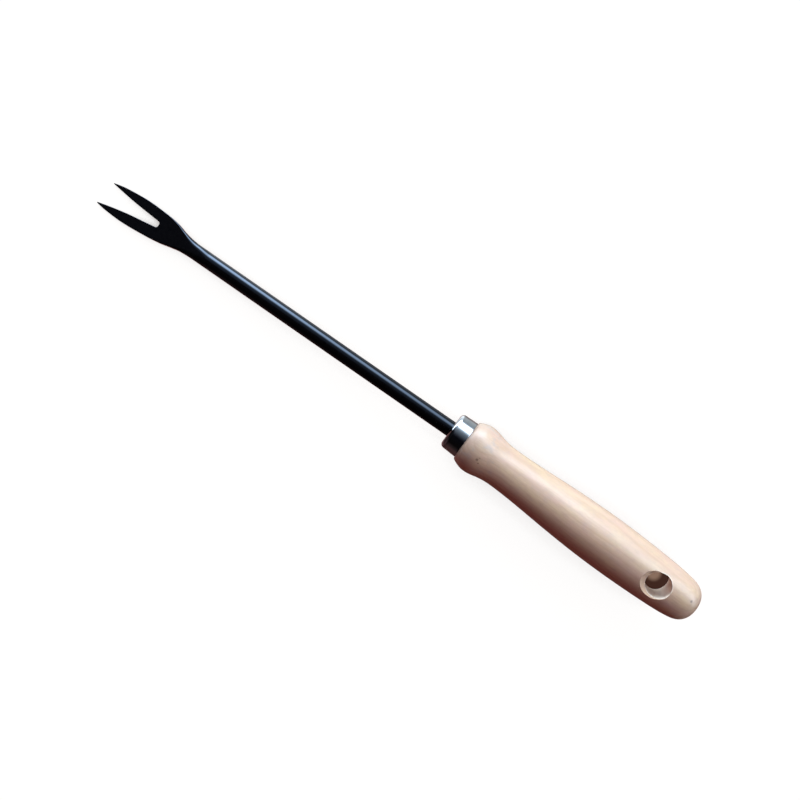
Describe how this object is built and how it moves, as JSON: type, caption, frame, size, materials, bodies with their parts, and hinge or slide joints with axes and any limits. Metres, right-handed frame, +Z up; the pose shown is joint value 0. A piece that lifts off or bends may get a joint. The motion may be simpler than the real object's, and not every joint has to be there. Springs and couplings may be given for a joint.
{
  "type": "hand weeder",
  "caption": "Hand weeder with a forged, black-lacquered fork on a round shank, a bright steel ferrule and a turned, varnished wooden handle with a hanging hole",
  "frame": {"origin": "on the table, under the middle of the tool's length and width as it lies at rest", "axes": "+Z up from the table; +X from the butt of the handle towards the fork, level; +Y to the left of that. The tool rests on the bead of its handle and the tips of its tines, so its own axis falls by 3 degrees towards the tips"},
  "size_m": [0.3535, 0.0275, 0.0306],
  "materials": {
    "black_lacquer": "gloss",
    "bright_steel": "polished",
    "varnished_wood": "satin"
  },
  "bodies": {
    "root": {"fork_shank": "black_lacquer", "ferrule": "bright_steel", "handle": "varnished_wood"}
  },
  "joints": []
}
